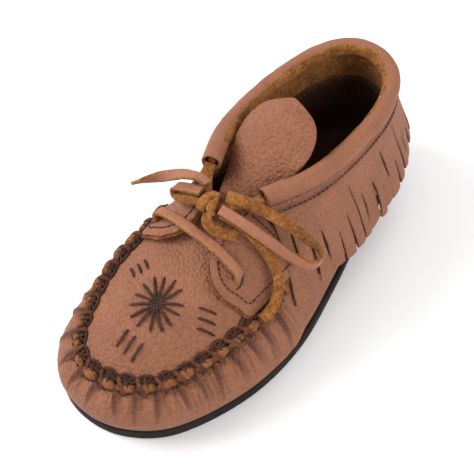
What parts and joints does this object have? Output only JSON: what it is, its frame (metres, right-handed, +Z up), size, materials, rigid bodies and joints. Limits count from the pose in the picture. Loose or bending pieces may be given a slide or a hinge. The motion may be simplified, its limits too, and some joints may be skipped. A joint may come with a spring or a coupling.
{
  "type": "moccasin",
  "caption": "Low leather moccasin with a puckered stitched toe, rolled collar, fringed cuff, tongue, flat leather lace tied in a bow and a thin rubber sole; left shoe.",
  "frame": {"origin": "on the ground under the outsole, halfway along its length on the heel-to-toe line", "axes": "+Z up; -Y towards the toe and +Y towards the heel; +X towards the lateral, outer side of the left foot"},
  "size_m": [0.1038, 0.2582, 0.1057],
  "materials": {
    "leather": "matte pebbled full-grain leather, tan with a pink cast",
    "suede": "napped golden-brown suede, the flesh side of the leather",
    "lining": "smooth dark brown lining leather",
    "stitch": "waxed dark brown thread",
    "sole": "matte brown-black rubber",
    "board": "pressed fibre insole board"
  },
  "bodies": {
    "shoe": {"outsole": "sole", "lower_wrap": "leather", "insole_board": "board", "footbed": "suede", "plug": "leather", "tongue_root": "leather", "front_flap_right": "leather", "flap_lining_right": "suede", "flap_thread_right": "stitch", "quarter_right": "leather", "front_flap_left": "leather", "flap_lining_left": "suede", "flap_thread_left": "stitch", "quarter_left": "leather", "quarter_lining": "lining", "collar_lining": "suede", "collar_roll": "leather", "fringed_cuff": "leather", "cuff_thread": "stitch", "lining_thread": "stitch", "vamp_whipstitch": "stitch", "embroidery_star": "stitch", "tick_toe_1": "stitch", "tick_toe_2": "stitch", "tick_toe_3": "stitch", "tick_left_1": "stitch", "tick_left_2": "stitch", "tick_left_3": "stitch", "tick_right_1": "stitch", "tick_right_2": "stitch", "tick_right_3": "stitch", "lace_collar_run": "leather", "lace_lead_left": "leather", "lace_lead_right": "leather", "lace_bar": "leather", "lace_under": "suede", "lace_knot": "suede", "lace_tail_right_root": "suede"},
    "tongue": {"tongue_flap": "leather"},
    "right_loop": {"bow_loop_right": "leather"},
    "left_loop": {"bow_loop_left": "leather"},
    "right_tail": {"lace_tail_right": "suede"},
    "left_tail": {"lace_tail_left": "leather"}
  },
  "joints": [
    {"name": "tongue_fold", "type": "hinge", "parent": "shoe", "child": "tongue", "pos_m": [0, -0.0097, 0.075], "axis": [1, 0, 0], "range_deg": [-12, 25]},
    {"name": "right_loop_lift", "type": "hinge", "parent": "shoe", "child": "right_loop", "pos_m": [0.0055, -0.0275, 0.0865], "axis": [0.335, -0.9422, 0], "range_deg": [0, 40]},
    {"name": "left_loop_lift", "type": "hinge", "parent": "shoe", "child": "left_loop", "pos_m": [-0.0065, -0.0295, 0.085], "axis": [-0.2241, 0.8365, 0.5], "range_deg": [0, 35]},
    {"name": "right_tail_lift", "type": "hinge", "parent": "shoe", "child": "right_tail", "pos_m": [0.0231, -0.0274, 0.0754], "axis": [-0.866, -0.5, 0], "range_deg": [0, 35]},
    {"name": "left_tail_lift", "type": "hinge", "parent": "shoe", "child": "left_tail", "pos_m": [-0.006, -0.0242, 0.0894], "axis": [-0.1351, 0.9908, 0], "range_deg": [0, 40]}
  ]
}
